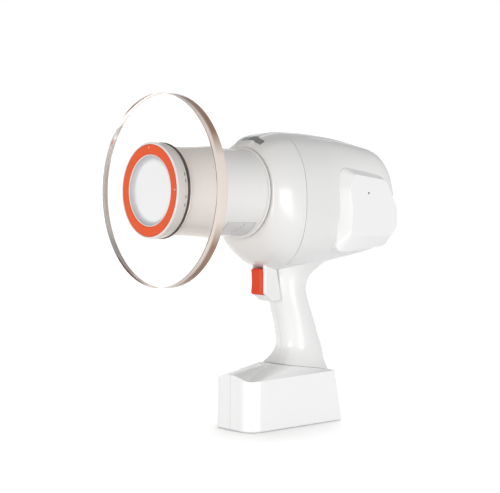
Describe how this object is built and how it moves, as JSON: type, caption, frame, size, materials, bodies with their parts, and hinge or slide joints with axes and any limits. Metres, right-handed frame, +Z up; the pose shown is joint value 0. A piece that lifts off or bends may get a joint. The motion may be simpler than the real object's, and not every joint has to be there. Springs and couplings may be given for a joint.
{
  "type": "handheld dental x-ray generator",
  "caption": "Handheld dental X-ray generator with pistol grip, beam cone, clear round scatter shield, trigger, rear operator panel and drop-out battery base.",
  "frame": {"origin": "near the middle of the battery block's underside, on the plane that the device stands on", "axes": "+Z up, -Y out of the cone along the beam, +X towards the device's left side"},
  "size_m": [0.1628, 0.262, 0.291],
  "materials": {
    "white_casing": "glossy moulded white plastic",
    "window_white": "satin white beam window",
    "orange": "glossy orange plastic",
    "trigger_orange": "satin orange-red plastic",
    "seal": "dark rubber",
    "collar_grey": "light grey seal",
    "label_grey": "printed film",
    "lead_acrylic": "clear lead acrylic with a faint brown tint",
    "lamp": "light pipe",
    "panel_grey": "satin grey plastic",
    "display_glass": "display window",
    "display": "display module",
    "board_green": "circuit board",
    "steel": "plain steel",
    "key_orange": "soft key",
    "key_grey": "soft key",
    "button_grey": "satin grey plastic",
    "black_plastic": "black engineering plastic",
    "lead": "dull lead",
    "aluminium": "milled aluminium",
    "tube_glass": "X-ray tube glass",
    "copper": "copper anode",
    "capacitor": "ceramic capacitors",
    "lead_insulation": "silicone wire insulation",
    "cell_wrap": "shrink-wrapped steel cells",
    "brass": "gold-plated contacts"
  },
  "bodies": {
    "device": {"front_casing": "white_casing", "rear_casing_left": "white_casing", "rear_casing_right": "white_casing", "side_cover_left": "white_casing", "side_cover_right": "white_casing", "cone_tube": "white_casing", "cone_cap": "white_casing", "cone_collar": "white_casing", "trigger_pod": "white_casing", "beam_window": "window_white", "target_ring": "orange", "collar_seal": "collar_grey", "cone_labels": "label_grey", "shoulder_label": "label_grey", "status_lamp": "lamp", "panel_bezel": "panel_grey", "display_window": "display_glass", "display_module": "display", "key_board": "board_green", "key_switches": "steel", "casing_screws": "steel", "flange_screws": "steel", "trigger_spring": "steel", "trigger_switch": "black_plastic", "trigger_board": "board_green", "cone_lining": "lead", "collimator_plate": "lead", "generator_tank": "aluminium", "tank_lid": "aluminium", "aluminium_filter": "aluminium", "chassis_frame": "aluminium", "tube_envelope": "tube_glass", "tube_anode": "copper", "tube_cathode": "steel", "tube_cradle": "black_plastic", "voltage_board": "board_green", "voltage_capacitors": "capacitor", "control_board": "board_green", "board_components": "black_plastic", "battery_socket": "black_plastic", "power_leads": "lead_insulation"},
    "trigger_body": {"trigger": "trigger_orange"},
    "shield": {"shield_disc": "lead_acrylic", "shield_gasket": "seal"},
    "battery_pack": {"pack_shell_left": "white_casing", "pack_shell_right": "white_casing", "base_pad": "seal", "charging_contacts": "brass", "battery_cells": "cell_wrap", "cell_holder": "black_plastic", "battery_board": "board_green", "contact_blades": "brass", "latch_bracket": "steel", "button_spring": "steel"},
    "release_button_body": {"release_button": "button_grey"},
    "power_key_body": {"power_key": "key_orange"},
    "down_key_body": {"down_key": "key_grey"},
    "mode_key_body": {"mode_key": "key_grey"},
    "up_key_body": {"up_key": "key_grey"},
    "ready_key_body": {"ready_key": "key_grey"}
  },
  "joints": [
    {"name": "trigger_pull", "type": "slide", "parent": "device", "child": "trigger_body", "axis": [0, 1, 0], "range_m": [0, 0.0035], "stiffness_N_per_m": 900, "springref_m": -0.002, "deforming": ["trigger_spring"]},
    {"name": "shield_slide", "type": "slide", "parent": "device", "child": "shield", "axis": [0, 1, 0], "range_m": [0, 0.07]},
    {"name": "battery_slide", "type": "slide", "parent": "device", "child": "battery_pack", "axis": [0, 0, -1], "range_m": [0, 0.04]},
    {"name": "release_press", "type": "slide", "parent": "battery_pack", "child": "release_button_body", "axis": [0, -1, 0], "range_m": [0, 0.0018], "stiffness_N_per_m": 600, "springref_m": -0.001, "deforming": ["button_spring"]},
    {"name": "power_key_press", "type": "slide", "parent": "device", "child": "power_key_body", "axis": [0, -0.9135, -0.4067], "range_m": [0, 0.0006], "stiffness_N_per_m": 800, "springref_m": -0.0005},
    {"name": "down_key_press", "type": "slide", "parent": "device", "child": "down_key_body", "axis": [0, -0.9135, -0.4067], "range_m": [0, 0.0006], "stiffness_N_per_m": 800, "springref_m": -0.0005},
    {"name": "mode_key_press", "type": "slide", "parent": "device", "child": "mode_key_body", "axis": [0, -0.9135, -0.4067], "range_m": [0, 0.0006], "stiffness_N_per_m": 800, "springref_m": -0.0005},
    {"name": "up_key_press", "type": "slide", "parent": "device", "child": "up_key_body", "axis": [0, -0.9135, -0.4067], "range_m": [0, 0.0006], "stiffness_N_per_m": 800, "springref_m": -0.0005},
    {"name": "ready_key_press", "type": "slide", "parent": "device", "child": "ready_key_body", "axis": [0, -0.9135, -0.4067], "range_m": [0, 0.0006], "stiffness_N_per_m": 800, "springref_m": -0.0005}
  ]
}
